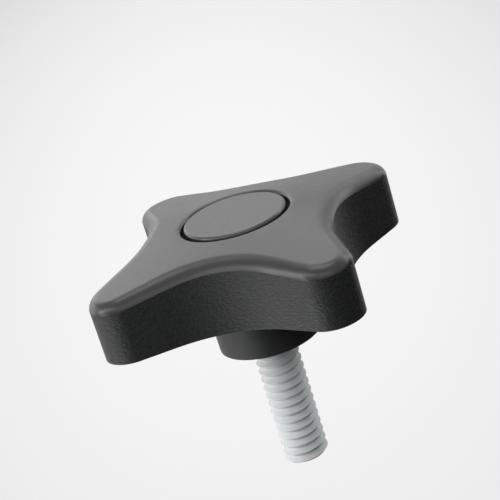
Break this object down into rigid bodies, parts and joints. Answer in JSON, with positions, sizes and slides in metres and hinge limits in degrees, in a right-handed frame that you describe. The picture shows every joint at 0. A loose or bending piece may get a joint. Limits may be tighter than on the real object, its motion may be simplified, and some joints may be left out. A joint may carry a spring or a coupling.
{
  "type": "four-lobe knob",
  "caption": "Moulded four-lobe clamping knob with a conical crowned top, a flush round cover cap, a short hub and a threaded steel stud.",
  "frame": {"origin": "centre of the hub's flat seat face, on the stud's axis, where the thread starts", "axes": "+Z along the stud's axis, out of the knob's top; the stud points along -Z; +X through one lobe and +Y through the next"},
  "size_m": [0.048, 0.048, 0.0376],
  "materials": {
    "body_plastic": "black glass-filled plastic, satin top, grained side wall",
    "cap_plastic": "black plastic, satin",
    "stud_steel": "matt zinc-plated steel"
  },
  "bodies": {
    "root": {"knob_body": "body_plastic", "cap": "cap_plastic", "stud": "stud_steel"}
  },
  "joints": []
}
